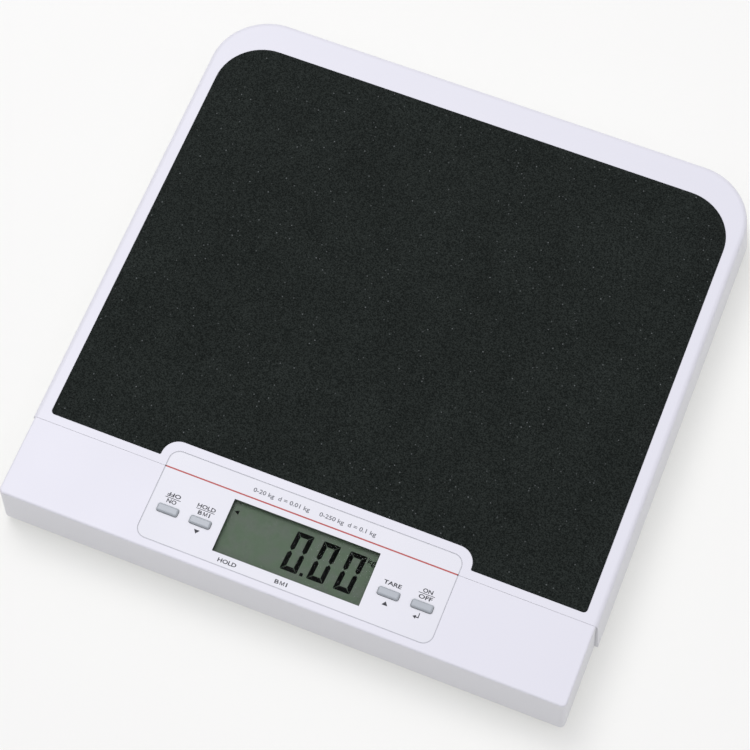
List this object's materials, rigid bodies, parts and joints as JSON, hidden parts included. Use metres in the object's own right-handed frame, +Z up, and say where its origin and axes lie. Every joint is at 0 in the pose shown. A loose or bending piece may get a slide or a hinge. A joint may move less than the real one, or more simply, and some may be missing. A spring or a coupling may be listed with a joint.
{
  "type": "low platform floor scale",
  "caption": "Low square floor scale with a dark grip mat, rounded rear corners, a front console with a digital display and grey push keys, corner feet and a battery door underneath.",
  "frame": {"origin": "centre of the footprint, on the floor under the feet", "axes": "+Z up; +Y from the display towards the rear; +X to the right of someone facing the display"},
  "size_m": [0.3372, 0.3365, 0.0415],
  "materials": {
    "white_shell": "fine satin moulding",
    "grip_rubber": "matt, finely gritted",
    "overlay_film": "satin polyester film",
    "lens_acrylic": "clear",
    "lcd_glass": "reflective grey-green",
    "black_plastic": "satin",
    "ivory_plastic": "satin",
    "elastomer": "matt",
    "board_laminate": "solder mask",
    "zinc_steel": "zinc plated",
    "galvanised_steel": "galvanised sheet",
    "cell_steel": "nickel plated",
    "grey_plastic": "satin",
    "silicone": "soft gloss",
    "cable_pvc": "matt",
    "tray_plastic": "fine texture",
    "foot_plastic": "satin",
    "foot_rubber": "matt",
    "battery_can": "printed wrap",
    "nickel_steel": "nickel plated",
    "key_grey": "satin"
  },
  "bodies": {
    "scale": {"platform_cover": "white_shell", "console_cover": "white_shell", "grip_mat": "grip_rubber", "control_overlay": "overlay_film", "display_lens": "lens_acrylic", "tact_switches": "black_plastic", "lcd_panel": "lcd_glass", "lcd_frame": "black_plastic", "lcd_contact_strips": "elastomer", "main_board": "board_laminate", "board_chips": "black_plastic", "board_connectors": "ivory_plastic", "board_screws": "zinc_steel", "chassis_plate": "galvanised_steel", "chassis_screws": "zinc_steel", "load_cell_brackets": "grey_plastic", "gauge_coats": "silicone", "load_cell_screws": "zinc_steel", "load_cell_cables": "cable_pvc", "base_tray": "tray_plastic", "batteries": "battery_can", "battery_springs": "nickel_steel", "battery_plates": "nickel_steel", "battery_lead": "cable_pvc", "base_screws": "zinc_steel", "load_cell_front_left": "cell_steel", "load_cell_front_right": "cell_steel", "load_cell_rear_left": "cell_steel", "load_cell_rear_right": "cell_steel"},
    "power_button_left_key": {"power_button_left": "key_grey", "power_button_left_plunger": "black_plastic"},
    "hold_button_key": {"hold_button": "key_grey", "hold_button_plunger": "black_plastic"},
    "tare_button_key": {"tare_button": "key_grey", "tare_button_plunger": "black_plastic"},
    "power_button_right_key": {"power_button_right": "key_grey", "power_button_right_plunger": "black_plastic"},
    "front_left_foot": {"foot_front_left": "foot_plastic", "foot_pad_front_left": "foot_rubber"},
    "front_right_foot": {"foot_front_right": "foot_plastic", "foot_pad_front_right": "foot_rubber"},
    "rear_left_foot": {"foot_rear_left": "foot_plastic", "foot_pad_rear_left": "foot_rubber"},
    "rear_right_foot": {"foot_rear_right": "foot_plastic", "foot_pad_rear_right": "foot_rubber"},
    "door": {"battery_door": "tray_plastic"}
  },
  "joints": [
    {"name": "power_button_left_press", "type": "slide", "parent": "scale", "child": "power_button_left_key", "axis": [0, 0, -1], "range_m": [0, 0.0005]},
    {"name": "hold_button_press", "type": "slide", "parent": "scale", "child": "hold_button_key", "axis": [0, 0, -1], "range_m": [0, 0.0005]},
    {"name": "tare_button_press", "type": "slide", "parent": "scale", "child": "tare_button_key", "axis": [0, 0, -1], "range_m": [0, 0.0005]},
    {"name": "power_button_right_press", "type": "slide", "parent": "scale", "child": "power_button_right_key", "axis": [0, 0, -1], "range_m": [0, 0.0005]},
    {"name": "front_left_foot_drop", "type": "slide", "parent": "scale", "child": "front_left_foot", "axis": [0, 0, -1], "range_m": [0, 0.00075]},
    {"name": "front_right_foot_drop", "type": "slide", "parent": "scale", "child": "front_right_foot", "axis": [0, 0, -1], "range_m": [0, 0.00075]},
    {"name": "rear_left_foot_drop", "type": "slide", "parent": "scale", "child": "rear_left_foot", "axis": [0, 0, -1], "range_m": [0, 0.00075]},
    {"name": "rear_right_foot_drop", "type": "slide", "parent": "scale", "child": "rear_right_foot", "axis": [0, 0, -1], "range_m": [0, 0.00075]},
    {"name": "battery_door_hinge", "type": "hinge", "parent": "scale", "child": "door", "pos_m": [0, 0.048, 0.008], "axis": [1, 0, 0], "range_deg": [0, 80]}
  ]
}
